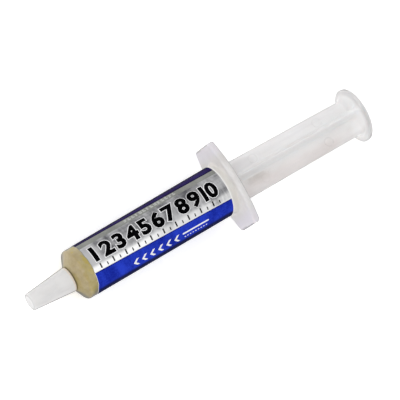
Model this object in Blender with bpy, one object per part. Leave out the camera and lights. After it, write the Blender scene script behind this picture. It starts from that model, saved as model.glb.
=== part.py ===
"""Flux syringe of the 10 ml size, lying on its side, capped and nearly full.

Every piece is drawn along +X, from the tip at -X to the thumb disc at +X, in
millimetres about the barrel's axis. One empty then lays the syringe down as it
comes to rest: on the barrel's front rim and on the lower front edge of the oval
finger flange, so the tip points down by a little over one degree.
"""

import math

import bmesh
import bpy
from mathutils import Matrix, Vector

MM = 0.001
ROUND = 64  # sides of the large turned faces
SMALL = 40  # sides of the small turned faces
CLEAR = 0.30  # gap left between pieces that touch

# Barrel: outside 18 mm with a slight draft, bore 16 mm.
RIM_X = -51.50  # where the nose cone would meet the barrel's wall
RIM_ROUND = 0.75
BARREL_R_FRONT = 9.03
BARREL_R_BACK = 9.27
BORE_R_FRONT = 7.95
BORE_R_BACK = 8.02
BORE_FRONT_X = -50.4
NOSE_FLAT_X = -54.00  # shallow cone from the rim to this small flat
NOSE_FLAT_R = 4.60
NOZZLE_TIP_X = -64.50
NOZZLE_BASE_R = 2.27
NOZZLE_TIP_R = 1.97
CHANNEL_R = 0.95

# Finger flange: an oval plate with cut-off ends, moulded with the barrel.
FLANGE_FRONT_X = 9.72
FLANGE_BACK_X = 12.26
FLANGE_HALF_LENGTH = 15.60
FLANGE_HALF_WIDTH = 10.45
FLANGE_END_HALF_WIDTH = 7.00
FLANGE_CORNER_R = 1.50
FLANGE_FRONT_EDGE_R = 0.90
FLANGE_BACK_EDGE_R = 0.45

# Label: a thin film wrapped round the barrel, flush with the wall beyond it.
LABEL_FRONT_X = -48.68
LABEL_BACK_X = 7.22
LABEL_THICK = 0.12
LABEL_SEAM_DEG = 160.0  # measured from +Z towards -Y, low on the far side
LABEL_SEAM_OPEN_DEG = 2.0

# Piston: elastomer, with two sealing ribs and a socket for the rod's knob.
PISTON_FRONT_X = -2.50
PISTON_BACK_X = 5.00
PISTON_R = BORE_R_FRONT - CLEAR
PISTON_WAIST_R = 7.10
SOCKET_MOUTH_R = 2.75
SOCKET_R = 3.90

# Plunger rod: cross section, collar and knob in front, thumb disc behind.
RIB_THICK = 1.40
RIB_R_FRONT = 7.45
RIB_R_BACK = 7.00
RIB_TURN_DEG = -12.3  # the rod as it was left, turned about its own axis
ROD_LEAN_DEG = -0.90  # and leaning a little in the bore, towards -Y
COLLAR_R = 7.60
COLLAR_FRONT_X = PISTON_BACK_X + CLEAR
COLLAR_BACK_X = 6.40
KNOB_NECK_R = 2.30
KNOB_R = 3.45
KNOB_X = 0.90
THUMB_FRONT_X = 64.20
THUMB_BACK_X = 65.85
THUMB_R = 9.95

# Tip cap: push-fit, closed at the front.
CAP_TIP_X = -70.25
CAP_BASE_X = -54.30
CAP_TIP_R = 3.08
CAP_BASE_R = 4.48


def lerp(a, b, t):
    return a + (b - a) * t


def barrel_r(x):
    """Outside radius of the barrel's wall, which widens towards the flange."""
    return lerp(
        BARREL_R_FRONT,
        BARREL_R_BACK,
        (x - RIM_X) / (FLANGE_FRONT_X - RIM_X),
    )


def bore_r(x):
    return lerp(
        BORE_R_FRONT,
        BORE_R_BACK,
        (x - BORE_FRONT_X) / (FLANGE_BACK_X - BORE_FRONT_X),
    )


def circle(x, r, count):
    """A ring about the axis, with a flat side at the top and the bottom."""
    ring = []
    for i in range(count):
        a = 2 * math.pi * (i + 0.5) / count
        ring.append((x, r * math.sin(a), r * math.cos(a)))
    return ring


def arc_profile(cx, cr, radius, start_deg, end_deg, steps):
    """Points (x, r) of an arc about (cx, cr), angles from +X towards +r."""
    points = []
    for i in range(steps + 1):
        a = math.radians(lerp(start_deg, end_deg, i / steps))
        points.append((cx + radius * math.cos(a), cr + radius * math.sin(a)))
    return points


def flange_outline(x, inset):
    """The flange's outline: bulged long sides, straight ends, round corners."""
    rise = FLANGE_HALF_WIDTH - FLANGE_END_HALF_WIDTH
    side_r = (FLANGE_HALF_LENGTH**2 + rise**2) / (2 * rise)
    side_z = FLANGE_HALF_WIDTH - side_r
    corner_y = FLANGE_HALF_LENGTH - FLANGE_CORNER_R
    corner_z = side_z + math.sqrt((side_r - FLANGE_CORNER_R) ** 2 - corner_y**2)
    turn = math.atan2(corner_y, corner_z - side_z)
    quarter = []
    side_steps = 9
    for i in range(side_steps):
        a = turn * (i + 0.5) / side_steps
        quarter.append(
            ((side_r - inset) * math.sin(a), side_z + (side_r - inset) * math.cos(a))
        )
    corner_steps = 5
    for i in range(corner_steps + 1):
        a = lerp(turn, math.pi / 2, i / corner_steps)
        r = FLANGE_CORNER_R - inset
        quarter.append((corner_y + r * math.sin(a), corner_z + r * math.cos(a)))
    ring = list(quarter)
    ring += [(y, -z) for y, z in reversed(quarter)]
    ring += [(-y, -z) for y, z in quarter]
    ring += [(-y, z) for y, z in reversed(quarter)]
    return [(x, y, z) for y, z in ring]


def cross_outline(x, r):
    """The rod's cross section: four ribs with eased tips."""
    half = RIB_THICK / 2
    ease = 0.3
    ring = []
    for k in range(4):
        c, s = math.cos(k * math.pi / 2), math.sin(k * math.pi / 2)
        for across, out in (
            (-half, r - ease),
            (-half + ease, r),
            (half - ease, r),
            (half, r - ease),
            (half, half),
        ):
            ring.append((x, across * c + out * s, out * c - across * s))
    return ring


def add_ring(bm, points):
    return [bm.verts.new(Vector(p) * MM) for p in points]


def skin(bm, first, second):
    """Quads between two rings that have the same number of points."""
    count = len(first)
    for i in range(count):
        j = (i + 1) % count
        bm.faces.new((first[i], first[j], second[j], second[i]))


def skin_all(bm, rings):
    for first, second in zip(rings, rings[1:]):
        skin(bm, first, second)


def fan(bm, ring, x):
    """Closes a ring with triangles to a point on the axis."""
    centre = bm.verts.new(Vector((x, 0, 0)) * MM)
    for i, v in enumerate(ring):
        bm.faces.new((centre, v, ring[(i + 1) % len(ring)]))


def loop_edges(bm, ring):
    edges = []
    for i, v in enumerate(ring):
        pair = (v, ring[(i + 1) % len(ring)])
        edges.append(bm.edges.get(pair) or bm.edges.new(pair))
    return edges


def fill_flat(bm, outer, inner):
    """Fills the flat face between an outer and an inner ring."""
    edges = loop_edges(bm, outer) + loop_edges(bm, inner)
    bmesh.ops.triangle_fill(
        bm, use_beauty=True, use_dissolve=False, edges=edges, normal=(1, 0, 0)
    )


def material(name, colour, roughness, transmission=0.0, ior=1.49, metallic=0.0):
    made = bpy.data.materials.new(name)
    made.use_nodes = True
    shader = made.node_tree.nodes["Principled BSDF"]
    shader.inputs["Base Color"].default_value = (*colour, 1.0)
    shader.inputs["Roughness"].default_value = roughness
    shader.inputs["Metallic"].default_value = metallic
    shader.inputs["Transmission Weight"].default_value = transmission
    shader.inputs["IOR"].default_value = ior
    made.diffuse_color = (*colour, 1.0)
    return made


def finish_object(name, bm, skin_material, parent, origin_x=0.0):
    """Turns the mesh into a named object that hangs from its empty.

    The mesh is drawn about the syringe's origin, so it moves back by the
    empty's own place on the axis.
    """
    bmesh.ops.recalc_face_normals(bm, faces=bm.faces)
    mesh = bpy.data.meshes.new(name)
    bm.to_mesh(mesh)
    bm.free()
    mesh.shade_smooth()
    mesh.set_sharp_from_angle(angle=math.radians(32))
    mesh.materials.append(skin_material)
    obj = bpy.data.objects.new(name, mesh)
    bpy.context.scene.collection.objects.link(obj)
    mesh.transform(Matrix.Translation((-origin_x * MM, 0, 0)))
    obj.parent = parent
    return obj


def empty(name, parent=None, x=0.0):
    obj = bpy.data.objects.new(name, None)
    obj.empty_display_size = 0.005
    bpy.context.scene.collection.objects.link(obj)
    obj.parent = parent
    obj.location = (x * MM, 0, 0)
    return obj


def turned(bm, profile, count):
    """Rings along a profile of (x, r) points, skinned in order."""
    rings = [add_ring(bm, circle(x, r, count)) for x, r in profile]
    skin_all(bm, rings)
    return rings


def build_barrel(parent, skin_material):
    """One moulding: nozzle, nose cone, tube and finger flange, open right through."""
    bm = bmesh.new()
    slope = math.atan2(RIM_X - NOSE_FLAT_X, BARREL_R_FRONT - NOSE_FLAT_R)
    # The rim's round touches the wall and the cone.
    reach = RIM_ROUND * math.tan((math.pi / 2 - slope) / 2)
    rim_cx, rim_cr = RIM_X + reach, BARREL_R_FRONT - RIM_ROUND
    outer = [
        (NOZZLE_TIP_X, CHANNEL_R + 0.10),
        (NOZZLE_TIP_X, NOZZLE_TIP_R - 0.20),
        (NOZZLE_TIP_X + 0.20, NOZZLE_TIP_R),
        (NOSE_FLAT_X - 0.45, NOZZLE_BASE_R),
        (NOSE_FLAT_X - 0.13, NOZZLE_BASE_R + 0.13),
        (NOSE_FLAT_X, NOZZLE_BASE_R + 0.45),
        (NOSE_FLAT_X, NOSE_FLAT_R - 0.25),
        (NOSE_FLAT_X + 0.10, NOSE_FLAT_R + 0.08),
    ]
    outer += arc_profile(
        rim_cx, rim_cr, RIM_ROUND, 180 - math.degrees(slope), 90, 4
    )
    seat = CLEAR + LABEL_THICK
    seat_front = LABEL_FRONT_X - 0.15
    seat_back = LABEL_BACK_X + 0.15
    outer += [
        (seat_front, barrel_r(seat_front)),
        (seat_front, barrel_r(seat_front) - seat),
        (seat_back, barrel_r(seat_back) - seat),
        (seat_back, barrel_r(seat_back)),
        # A small fillet, which stays inside the flange's rounded edge.
        (FLANGE_FRONT_X - 0.22, barrel_r(FLANGE_FRONT_X - 0.22)),
        (FLANGE_FRONT_X - 0.06, barrel_r(FLANGE_FRONT_X) + 0.05),
        (FLANGE_FRONT_X, barrel_r(FLANGE_FRONT_X) + 0.20),
    ]
    outer_rings = turned(bm, outer, ROUND)

    # The flange's edge, rounded more in front than behind.
    rings = []
    for i in range(4):
        a = math.radians(30 * i)
        rings.append(
            flange_outline(
                FLANGE_FRONT_X + FLANGE_FRONT_EDGE_R * (1 - math.cos(a)),
                FLANGE_FRONT_EDGE_R * (1 - math.sin(a)),
            )
        )
    for i in range(3):
        a = math.radians(45 * i)
        rings.append(
            flange_outline(
                FLANGE_BACK_X - FLANGE_BACK_EDGE_R * (1 - math.sin(a)),
                FLANGE_BACK_EDGE_R * (1 - math.cos(a)),
            )
        )
    rings = [add_ring(bm, ring) for ring in rings]
    skin_all(bm, rings)
    fill_flat(bm, rings[0], outer_rings[-1])

    inner = [
        (FLANGE_BACK_X, 8.55),
        (FLANGE_BACK_X - 0.55, bore_r(FLANGE_BACK_X)),
        (BORE_FRONT_X, BORE_R_FRONT),
        (BORE_FRONT_X - 0.45, BORE_R_FRONT - 0.30),
        (NOSE_FLAT_X + 1.35, 1.90),
        (NOSE_FLAT_X + 0.85, CHANNEL_R + 0.08),
        (NOZZLE_TIP_X + 0.15, CHANNEL_R),
    ]
    inner_rings = turned(bm, inner, ROUND)
    fill_flat(bm, rings[-1], inner_rings[0])
    skin(bm, inner_rings[-1], outer_rings[0])
    return finish_object("barrel", bm, skin_material, parent)


def build_label(parent, skin_material):
    """A film wrapped once round the barrel, with its seam a little open."""
    bm = bmesh.new()
    corners = [
        (x, barrel_r(x) - LABEL_THICK * inner)
        for x, inner in (
            (LABEL_FRONT_X, 1),
            (LABEL_FRONT_X, 0),
            (LABEL_BACK_X, 0),
            (LABEL_BACK_X, 1),
        )
    ]
    steps = ROUND
    sections = []
    for i in range(steps + 1):
        turn = lerp(
            LABEL_SEAM_DEG + LABEL_SEAM_OPEN_DEG / 2,
            LABEL_SEAM_DEG + 360 - LABEL_SEAM_OPEN_DEG / 2,
            i / steps,
        )
        a = math.radians(turn)
        sections.append(
            add_ring(bm, [(x, -r * math.sin(a), r * math.cos(a)) for x, r in corners])
        )
    skin_all(bm, sections)
    bm.faces.new(sections[0])
    bm.faces.new(sections[-1])
    return finish_object("label", bm, skin_material, parent)


def build_flux(parent, skin_material):
    """The paste that fills the bore from the nozzle to the piston."""
    bm = bmesh.new()
    back = PISTON_FRONT_X - CLEAR
    profile = [
        (back, BORE_R_FRONT - CLEAR - 0.4),
        (back - 0.3, BORE_R_FRONT - CLEAR),
        (BORE_FRONT_X + 0.2, BORE_R_FRONT - CLEAR),
        (BORE_FRONT_X - 0.12, BORE_R_FRONT - 0.60),
        (NOSE_FLAT_X + 1.72, 1.80),
        (NOSE_FLAT_X + 1.15, CHANNEL_R - CLEAR),
        (NOZZLE_TIP_X + CLEAR, CHANNEL_R - CLEAR),
    ]
    rings = turned(bm, profile, SMALL)
    fan(bm, rings[0], back)
    fan(bm, rings[-1], NOZZLE_TIP_X + CLEAR)
    return finish_object("flux_paste", bm, skin_material, parent)


def build_piston(parent, skin_material):
    """Flat-fronted seal with two ribs and a socket open to the back."""
    bm = bmesh.new()
    profile = [
        (PISTON_BACK_X - 3.0, SOCKET_R),
        (PISTON_BACK_X - 2.4, SOCKET_MOUTH_R),
        (PISTON_BACK_X - 0.4, SOCKET_MOUTH_R),
        (PISTON_BACK_X, SOCKET_MOUTH_R + 0.45),
        (PISTON_BACK_X, PISTON_R - 0.35),
        (PISTON_BACK_X - 0.35, PISTON_R),
        (PISTON_BACK_X - 1.35, PISTON_R),
        (PISTON_BACK_X - 1.85, PISTON_WAIST_R),
        (PISTON_FRONT_X + 2.05, PISTON_WAIST_R),
        (PISTON_FRONT_X + 1.55, PISTON_R),
        (PISTON_FRONT_X + 0.55, PISTON_R),
        (PISTON_FRONT_X + 0.15, PISTON_R - 0.25),
        (PISTON_FRONT_X, PISTON_R - 0.75),
    ]
    rings = turned(bm, profile, SMALL)
    fan(bm, rings[-1], PISTON_FRONT_X)
    depth = PISTON_FRONT_X + 2.4
    rear = add_ring(bm, circle(depth, SOCKET_R, SMALL))
    skin(bm, rear, rings[0])
    fan(bm, rear, depth)
    return finish_object("piston", bm, skin_material, parent, PISTON_BACK_X)


def build_rod(parent, skin_material):
    """One moulding: knob, collar, cross-shaped stem and thumb disc."""
    bm = bmesh.new()
    knob_front = PISTON_FRONT_X + 2.4 + 0.4
    knob_back = PISTON_BACK_X - 3.0 - 0.4
    front = [
        (knob_front, KNOB_R - 0.75),
        (knob_front + 0.5, KNOB_R - 0.15),
        (knob_front + 0.9, KNOB_R),
        (knob_back, KNOB_R),
        (knob_back + 0.5, KNOB_NECK_R),
        (COLLAR_FRONT_X, KNOB_NECK_R),
        (COLLAR_FRONT_X, COLLAR_R - 0.2),
        (COLLAR_FRONT_X + 0.2, COLLAR_R),
        (COLLAR_BACK_X - 0.2, COLLAR_R),
        (COLLAR_BACK_X, COLLAR_R - 0.05),
    ]
    front_rings = turned(bm, front, SMALL)
    fan(bm, front_rings[0], knob_front)
    stem = [
        add_ring(bm, cross_outline(COLLAR_BACK_X, RIB_R_FRONT)),
        add_ring(bm, cross_outline(THUMB_FRONT_X, RIB_R_BACK)),
    ]
    skin_all(bm, stem)
    fill_flat(bm, front_rings[-1], stem[0])
    back = [
        (THUMB_FRONT_X, THUMB_R - 0.40),
        (THUMB_FRONT_X + 0.12, THUMB_R - 0.12),
        (THUMB_FRONT_X + 0.40, THUMB_R),
        (THUMB_BACK_X - 0.45, THUMB_R),
        (THUMB_BACK_X - 0.13, THUMB_R - 0.13),
        (THUMB_BACK_X, THUMB_R - 0.45),
    ]
    back_rings = turned(bm, back, ROUND)
    fill_flat(bm, back_rings[0], stem[1])
    fan(bm, back_rings[-1], THUMB_BACK_X)
    return finish_object("plunger_rod", bm, skin_material, parent, KNOB_X)


def build_cap(parent, skin_material):
    """Tapered cap with a blind socket that grips the nozzle."""
    bm = bmesh.new()
    socket_tip_r = NOZZLE_TIP_R + CLEAR
    socket_base_r = NOZZLE_BASE_R + CLEAR
    profile = [
        (CAP_TIP_X, CAP_TIP_R - 0.65),
        (CAP_TIP_X + 0.15, CAP_TIP_R - 0.25),
        (CAP_TIP_X + 0.55, CAP_TIP_R),
        (CAP_BASE_X - 0.25, CAP_BASE_R),
        (CAP_BASE_X, CAP_BASE_R - 0.22),
        (CAP_BASE_X, socket_base_r + 0.50),
        (CAP_BASE_X - 0.75, socket_base_r),
        (NOZZLE_TIP_X, socket_tip_r),
        (NOZZLE_TIP_X - 1.60, socket_tip_r - 0.25),
    ]
    rings = turned(bm, profile, SMALL)
    fan(bm, rings[0], CAP_TIP_X)
    fan(bm, rings[-1], NOZZLE_TIP_X - 1.60)
    return finish_object("tip_cap", bm, skin_material, parent, CAP_BASE_X)


def lay_down(root, objects):
    """Tips the syringe onto its two points of rest and centres it over them."""
    slope = (FLANGE_HALF_WIDTH - BARREL_R_FRONT * math.cos(math.pi / ROUND)) / (
        FLANGE_FRONT_X + FLANGE_FRONT_EDGE_R - (RIM_X + 0.43)
    )
    root.rotation_euler = (0, -math.atan(slope), 0)
    bpy.context.view_layer.update()
    corners = [obj.matrix_world @ v.co for obj in objects for v in obj.data.vertices]
    low = Vector([min(c[i] for c in corners) for i in range(3)])
    high = Vector([max(c[i] for c in corners) for i in range(3)])
    root.location = (-(low.x + high.x) / 2, -(low.y + high.y) / 2, -low.z)
    bpy.context.view_layer.update()


def main():
    for obj in list(bpy.data.objects):
        bpy.data.objects.remove(obj, do_unlink=True)

    clear_plastic = material("natural_plastic", (0.78, 0.77, 0.74), 0.38, 0.35)
    rod_plastic = material("rod_plastic", (0.80, 0.79, 0.80), 0.36, 0.25)
    cap_plastic = material("cap_plastic", (0.84, 0.84, 0.83), 0.45, 0.10)
    seal_rubber = material("seal_rubber", (0.62, 0.58, 0.48), 0.60)
    foil_film = material("foil_film", (0.70, 0.70, 0.72), 0.28, metallic=0.8)
    paste = material("paste", (0.42, 0.34, 0.15), 0.45, 0.15)

    root = empty("syringe")
    plunger = empty("plunger_axis", root, PISTON_BACK_X)
    rod_axis = empty("rod_axis", plunger, KNOB_X - PISTON_BACK_X)
    rod_axis.rotation_euler = (
        math.radians(RIB_TURN_DEG),
        0,
        math.radians(ROD_LEAN_DEG),
    )
    cap_axis = empty("cap_axis", root, CAP_BASE_X)

    objects = [
        build_barrel(root, clear_plastic),
        build_label(root, foil_film),
        build_flux(root, paste),
        build_piston(plunger, seal_rubber),
        build_rod(rod_axis, rod_plastic),
        build_cap(cap_axis, cap_plastic),
    ]
    lay_down(root, objects)


main()
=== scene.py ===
"""Looks of the flux syringe: shells, label, print, paste and light around its solids.

Lengths are in millimetres in the syringe's own axes: x runs along the barrel from the
tip to the thumb disc, and angles round the axis start at the top and grow towards -y.
"""

import math

import bmesh
import bpy
from mathutils import Matrix, Vector


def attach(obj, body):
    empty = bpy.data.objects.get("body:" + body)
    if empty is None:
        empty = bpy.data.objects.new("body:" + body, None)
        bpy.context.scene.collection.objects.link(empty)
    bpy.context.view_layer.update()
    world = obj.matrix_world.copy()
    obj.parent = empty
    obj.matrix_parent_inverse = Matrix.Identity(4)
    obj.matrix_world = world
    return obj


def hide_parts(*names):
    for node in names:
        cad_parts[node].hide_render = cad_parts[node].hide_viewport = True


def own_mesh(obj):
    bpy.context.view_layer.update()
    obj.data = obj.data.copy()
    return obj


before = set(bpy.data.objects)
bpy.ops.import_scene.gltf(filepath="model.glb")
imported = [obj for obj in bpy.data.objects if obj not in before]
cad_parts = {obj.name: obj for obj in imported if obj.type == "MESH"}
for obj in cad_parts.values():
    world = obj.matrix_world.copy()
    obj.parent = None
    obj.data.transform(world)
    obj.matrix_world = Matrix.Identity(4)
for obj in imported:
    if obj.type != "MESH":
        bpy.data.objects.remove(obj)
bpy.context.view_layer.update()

MM = 0.001

# How the syringe lies: the same tilt and place as its solids have.
TILT = -0.02319047600030899
PLACE = (0.002098541706800461, 0.0, 0.010200745426118374)
LAY = Matrix.Translation(PLACE) @ Matrix.Rotation(TILT, 4, "Y")

RIM_X, RIM_ROUND = -51.50, 0.75
BARREL_R_FRONT, BARREL_R_BACK = 9.045, 9.22
SHY = 0.05  # the wall stays this much inside the label's face
BORE_R_FRONT, BORE_R_BACK, BORE_FRONT_X = 7.95, 8.02, -50.4
NOSE_FLAT_X, NOSE_FLAT_R = -54.00, 4.60
NOZZLE_TIP_X, NOZZLE_BASE_R, NOZZLE_TIP_R, CHANNEL_R = -64.50, 2.27, 1.97, 0.95
FLANGE_FRONT_X, FLANGE_BACK_X = 9.72, 12.26
FLANGE_HALF_LENGTH, FLANGE_HALF_WIDTH, FLANGE_END_HALF_WIDTH = 15.60, 10.45, 7.00
FLANGE_CORNER_R, FLANGE_FRONT_EDGE_R, FLANGE_BACK_EDGE_R = 1.50, 0.90, 0.45
LABEL_FRONT_X, LABEL_BACK_X = -48.68, 7.22
PISTON_FRONT_X, PISTON_BACK_X, PISTON_R, PISTON_WAIST_R = -2.50, 5.00, 7.65, 7.10
SOCKET_MOUTH_R, SOCKET_R = 2.75, 3.90
RIB_R_FRONT, RIB_R_BACK, RIB_TURN_DEG, ROD_LEAN_DEG = 7.48, 7.03, -12.3, -0.90
COLLAR_R, COLLAR_FRONT_X, COLLAR_BACK_X = 7.60, 5.30, 6.40
KNOB_NECK_R, KNOB_R, KNOB_X = 2.30, 3.45, 0.90
THUMB_FRONT_X, THUMB_BACK_X, THUMB_R = 64.20, 65.85, 9.93
CAP_TIP_X, CAP_BASE_X, CAP_TIP_R, CAP_BASE_R = -70.25, -54.30, 3.08, 4.48


def lerp(a, b, t):
    return a + (b - a) * t


def smooth(t):
    t = max(0.0, min(1.0, t))
    return t * t * (3 - 2 * t)


def barrel_r(x):
    return lerp(
        BARREL_R_FRONT, BARREL_R_BACK, (x - RIM_X) / (FLANGE_FRONT_X - RIM_X)
    )


def bore_r(x):
    return lerp(
        BORE_R_FRONT, BORE_R_BACK, (x - BORE_FRONT_X) / (FLANGE_BACK_X - BORE_FRONT_X)
    )


def arc(cx, cr, radius, start, end, steps):
    """Points (x, r) of an arc about (cx, cr), angles in degrees from +x towards +r."""
    found = []
    for i in range(steps + 1):
        a = math.radians(lerp(start, end, i / steps))
        found.append((cx + radius * math.cos(a), cr + radius * math.sin(a)))
    return found


# ---------------------------------------------------------------- mesh building


class Skin:
    """Rings of points joined by faces. Points are in millimetres."""

    def __init__(self):
        self.points, self.faces, self.slots = [], [], []

    def ring(self, points):
        start = len(self.points)
        self.points += [tuple(p) for p in points]
        return list(range(start, start + len(points)))

    def join(self, a, b, slot=0, closed=True):
        n = len(a)
        for i in range(n if closed else n - 1):
            j = (i + 1) % n
            self.faces.append((a[i], a[j], b[j], b[i]))
            self.slots.append(slot(i) if callable(slot) else slot)

    def join_all(self, rings, slot=0, closed=True):
        for a, b in zip(rings, rings[1:]):
            self.join(a, b, slot, closed)

    def fan(self, ring, point, slot=0):
        self.points.append(tuple(point))
        centre, n = len(self.points) - 1, len(ring)
        for i in range(n):
            self.faces.append((centre, ring[i], ring[(i + 1) % n]))
            self.slots.append(slot)

    def face(self, corners, slot=0):
        self.faces.append(tuple(corners))
        self.slots.append(slot)

    def bmesh(self):
        """The skin as one mesh."""
        bm = bmesh.new()
        verts = [bm.verts.new(Vector(p) * MM) for p in self.points]
        for corners, slot in zip(self.faces, self.slots):
            f = bm.faces.new([verts[i] for i in corners])
            f.material_index = slot
        return bm


def piece(name, bm, materials, matrix, body, replaced=(), angle=38):
    """Makes the shown piece and lets it ride on its body."""
    bmesh.ops.recalc_face_normals(bm, faces=bm.faces)
    mesh = bpy.data.meshes.new(name)
    bm.to_mesh(mesh)
    bm.free()
    mesh.transform(matrix)
    for m in materials:
        mesh.materials.append(m)
    mesh.shade_smooth()
    mesh.set_sharp_from_angle(angle=math.radians(angle))
    obj = bpy.data.objects.new(name, mesh)
    bpy.context.scene.collection.objects.link(obj)
    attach(obj, body)
    if replaced:
        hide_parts(*replaced)
    return obj


def circle(x, r, angles):
    return [(x, r * math.sin(a), r * math.cos(a)) for a in angles]


def even_angles(count):
    return [2 * math.pi * (i + 0.5) / count for i in range(count)]


# Round witness marks of the ejector pins, on the upper faces of the side ribs:
# (rib, x, distance from the axis). Rib 1 points to +y and rib 3 to -y.
PIN_MARKS = [(1, 24.3, 4.15), (1, 51.4, 4.10), (3, 24.3, 4.10), (3, 51.2, 4.00)]
PIN_R = 1.62


# ---------------------------------------------------------------- materials


class Graph:
    """Writes one material, in the syringe's own axes."""

    def __init__(self, name, rod=False):
        self.mat = bpy.data.materials.new(name)
        self.mat.use_nodes = True
        self.nt = self.mat.node_tree
        self.shader = self.nt.nodes["Principled BSDF"]
        found = self.node("ShaderNodeTexCoord").outputs["Object"]
        self.where = self.unlaid(found, PLACE, (0.0, TILT, 0.0))
        if rod:
            knob = (KNOB_X * MM, 0.0, 0.0)
            turn = (math.radians(RIB_TURN_DEG), 0.0, math.radians(ROD_LEAN_DEG))
            back = self.node("ShaderNodeVectorMath", operation="ADD")
            self.put(back.inputs[0], self.unlaid(self.where, knob, turn))
            back.inputs[1].default_value = knob
            self.where = back.outputs[0]

    def unlaid(self, vector, place, turn):
        """Takes a place and a turn back out of a vector."""
        n = self.node("ShaderNodeMapping", vector_type="TEXTURE")
        self.put(n.inputs["Vector"], vector)
        n.inputs["Location"].default_value = place
        n.inputs["Rotation"].default_value = turn
        return n.outputs[0]

    def node(self, kind, **settings):
        made = self.nt.nodes.new(kind)
        for key, value in settings.items():
            setattr(made, key, value)
        return made

    def put(self, socket, value):
        if isinstance(value, bpy.types.NodeSocket):
            self.nt.links.new(value, socket)
        elif isinstance(value, (tuple, list)) and len(value) == 3:
            kind = socket.type
            socket.default_value = (*value, 1.0) if kind == "RGBA" else value
        else:
            socket.default_value = value

    def set(self, **values):
        for key, value in values.items():
            self.put(self.shader.inputs[key.replace("_", " ")], value)

    def math(self, operation, a, b=0.0, c=0.0, clamp=False):
        n = self.node("ShaderNodeMath", operation=operation, use_clamp=clamp)
        self.put(n.inputs[0], a)
        self.put(n.inputs[1], b)
        self.put(n.inputs[2], c)
        return n.outputs[0]

    def split(self, vector=None):
        n = self.node("ShaderNodeSeparateXYZ")
        self.put(n.inputs[0], vector or self.where)
        return n.outputs

    def stretch(self, scale, vector=None):
        n = self.node("ShaderNodeMapping")
        self.put(n.inputs["Vector"], vector or self.where)
        n.inputs["Scale"].default_value = scale
        return n.outputs[0]

    def noise(self, scale, detail=3.0, rough=0.5, vector=None, distortion=0.0):
        n = self.node("ShaderNodeTexNoise")
        self.put(n.inputs["Vector"], vector or self.where)
        n.inputs["Scale"].default_value = scale
        n.inputs["Detail"].default_value = detail
        n.inputs["Roughness"].default_value = rough
        n.inputs["Distortion"].default_value = distortion
        return n.outputs["Fac"]

    def cells(self, scale, feature="F1", vector=None, randomness=1.0):
        n = self.node("ShaderNodeTexVoronoi", feature=feature)
        self.put(n.inputs["Vector"], vector or self.where)
        n.inputs["Scale"].default_value = scale
        n.inputs["Randomness"].default_value = randomness
        return n.outputs["Distance"]

    def span(self, value, low, high, to_low=0.0, to_high=1.0, kind="SMOOTHSTEP"):
        n = self.node("ShaderNodeMapRange", interpolation_type=kind)
        n.clamp = True
        self.put(n.inputs["Value"], value)
        n.inputs["From Min"].default_value = low
        n.inputs["From Max"].default_value = high
        n.inputs["To Min"].default_value = to_low
        n.inputs["To Max"].default_value = to_high
        return n.outputs["Result"]

    def mix(self, share, a, b, blend="MIX"):
        n = self.node("ShaderNodeMix", data_type="RGBA", blend_type=blend)
        n.clamp_factor = True
        self.put(n.inputs["Factor"], share)
        self.put(n.inputs[6], a)
        self.put(n.inputs[7], b)
        return n.outputs[2]

    def bump(self, height, strength, distance, normal=None):
        n = self.node("ShaderNodeBump")
        n.inputs["Strength"].default_value = strength
        n.inputs["Distance"].default_value = distance
        self.put(n.inputs["Height"], height)
        if normal is not None:
            self.put(n.inputs["Normal"], normal)
        return n.outputs["Normal"]

    def outline(self, colour, share, darker, start=0.55, end=0.97):
        """Paints shade into a colour where the surface turns away from the camera, standing in for the dark rim
        that thick clear edges show.
        """
        n = self.node("ShaderNodeLayerWeight")
        n.inputs["Blend"].default_value = 0.5
        away = self.span(n.outputs["Facing"], start, end)
        return self.mix(self.math("MULTIPLY", away, share), colour, darker)

    def turn(self):
        """Degrees round the axis from the top, growing towards -y."""
        x, y, z = self.split()
        a = self.math("ARCTAN2", self.math("MULTIPLY", y, -1.0), z)
        return self.math("DEGREES", a)

    def around(self, stretch_x=1.0, stretch_a=1.0):
        """(x, arc length) as a flat vector in metres, for patterns on a wrapped film."""
        x, y, z = self.split()
        a = self.math("ARCTAN2", self.math("MULTIPLY", y, -1.0), z)
        n = self.node("ShaderNodeCombineXYZ")
        self.put(n.inputs[0], self.math("MULTIPLY", x, stretch_x))
        self.put(n.inputs[1], self.math("MULTIPLY", a, 0.0091 * stretch_a))
        return n.outputs[0]


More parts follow.
